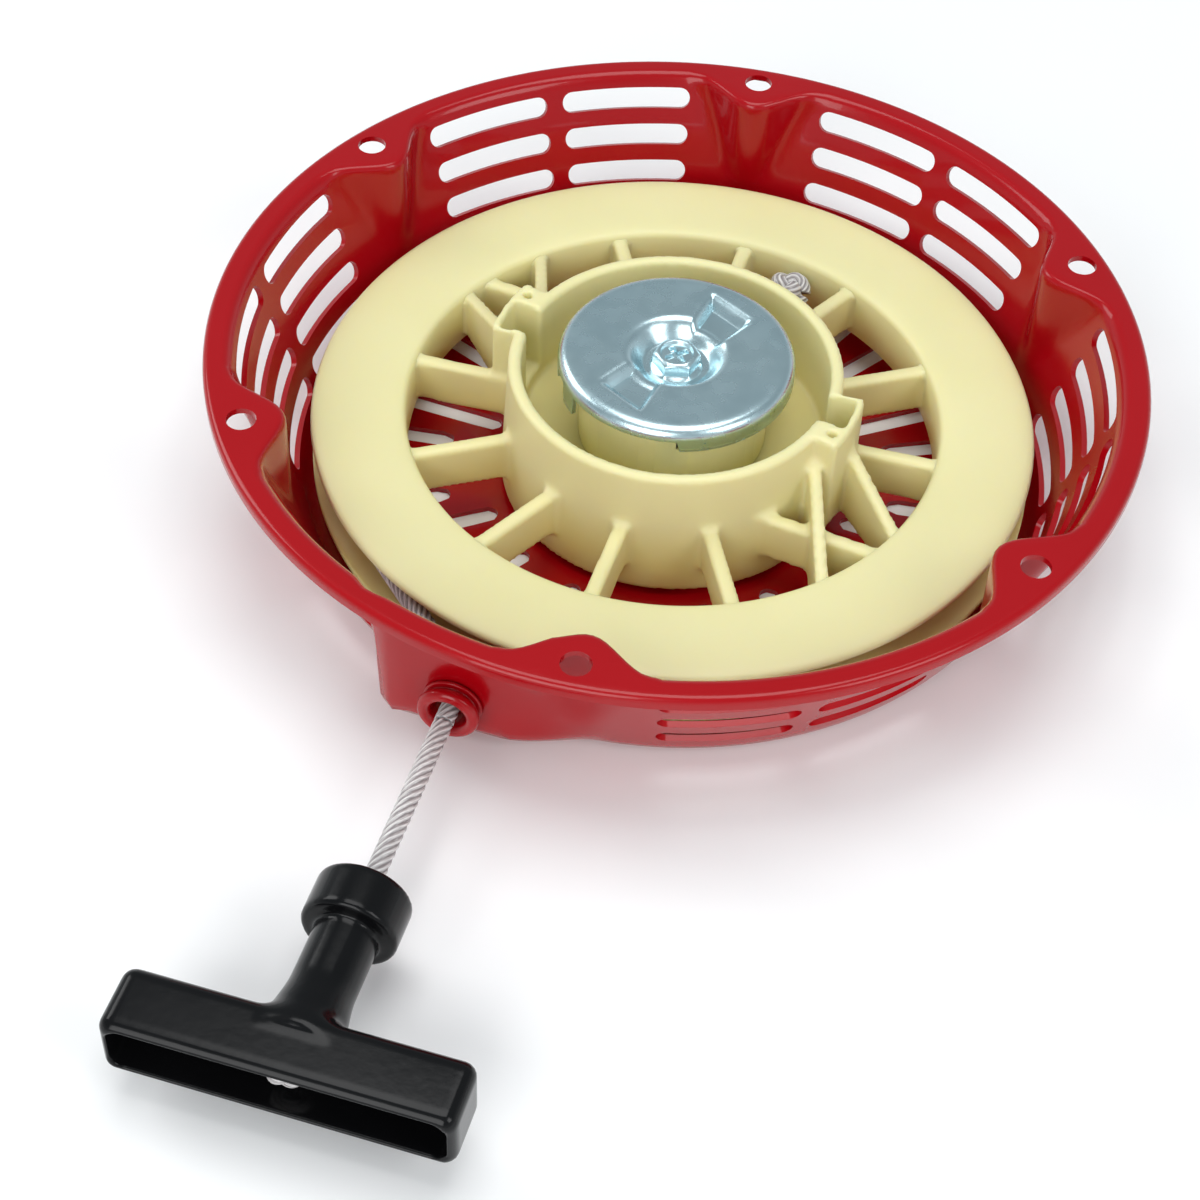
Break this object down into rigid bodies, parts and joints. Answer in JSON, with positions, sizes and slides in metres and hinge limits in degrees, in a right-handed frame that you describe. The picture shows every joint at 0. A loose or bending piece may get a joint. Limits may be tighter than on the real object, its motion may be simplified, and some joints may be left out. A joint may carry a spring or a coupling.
{
  "type": "recoil starter",
  "caption": "Pull-rope starter for a small engine: slotted steel case, rope reel with ratchet head, and T-grip drawn a little way out.",
  "frame": {"origin": "centre of the case's outer back face, on the reel's axis", "axes": "+Z along the reel's axis out of the open, engine side; the rope leaves the case near -Y"},
  "size_m": [0.224, 0.3183, 0.046],
  "materials": {
    "case_paint": "deep red gloss paint on pressed steel",
    "reel_nylon": "cream moulded nylon, slightly translucent",
    "zinc_plate": "bright zinc plate with a bluish passivation",
    "bare_steel": "plain turned or sintered steel",
    "spring_steel": "blued spring steel",
    "grip_plastic": "black gloss moulded plastic",
    "rope_nylon": "white twisted nylon rope"
  },
  "bodies": {
    "case": {"starter_case": "case_paint", "rope_eyelet": "case_paint", "reel_post": "bare_steel", "spring_hook": "bare_steel", "center_bolt": "zinc_plate", "rope_run": "rope_nylon", "return_spring": "spring_steel"},
    "reel": {"reel": "reel_nylon", "reel_cup": "reel_nylon", "reel_hub": "reel_nylon", "rope_on_reel": "rope_nylon", "reel_knot": "rope_nylon", "ratchet_spring_1": "spring_steel", "ratchet_spring_2": "spring_steel"},
    "guide": {"ratchet_guide": "zinc_plate", "friction_spring": "spring_steel"},
    "ratchet_1": {"ratchet_1": "bare_steel"},
    "ratchet_2": {"ratchet_2": "bare_steel"},
    "grip": {"pull_grip": "grip_plastic", "grip_rope": "rope_nylon", "grip_knot": "rope_nylon", "rope_free": "rope_nylon"}
  },
  "joints": [
    {"name": "reel_turn", "type": "hinge", "parent": "case", "child": "reel", "pos_m": [0, 0, 0.02], "axis": [0, 0, 1], "range_deg": [-33.5, 1000], "deforming": ["return_spring"]},
    {"name": "grip_pull", "type": "slide", "parent": "case", "child": "grip", "axis": [-0.0698, -0.9976, 0], "range_m": [-0.047, 1.4], "deforming": ["rope_free"]},
    {"name": "guide_turn", "type": "hinge", "parent": "reel", "child": "guide", "pos_m": [0, 0, 0.04], "axis": [0, 0, 1], "range_deg": [-20, 0]},
    {"name": "ratchet_1_swing", "type": "hinge", "parent": "reel", "child": "ratchet_1", "pos_m": [-0.00304, 0.01723, 0.034], "axis": [0, 0, 1], "range_deg": [-35.5, 0.5]},
    {"name": "ratchet_2_swing", "type": "hinge", "parent": "reel", "child": "ratchet_2", "pos_m": [0.00304, -0.01723, 0.034], "axis": [0, 0, 1], "range_deg": [-35.5, 0.5]}
  ],
  "couplings": [
    {"joint": "grip_pull", "follows": "reel_turn", "m_per_rad": 0.08},
    {"joint": "ratchet_1_swing", "follows": "guide_turn", "ratio": 1.75},
    {"joint": "ratchet_2_swing", "follows": "guide_turn", "ratio": 1.75}
  ]
}
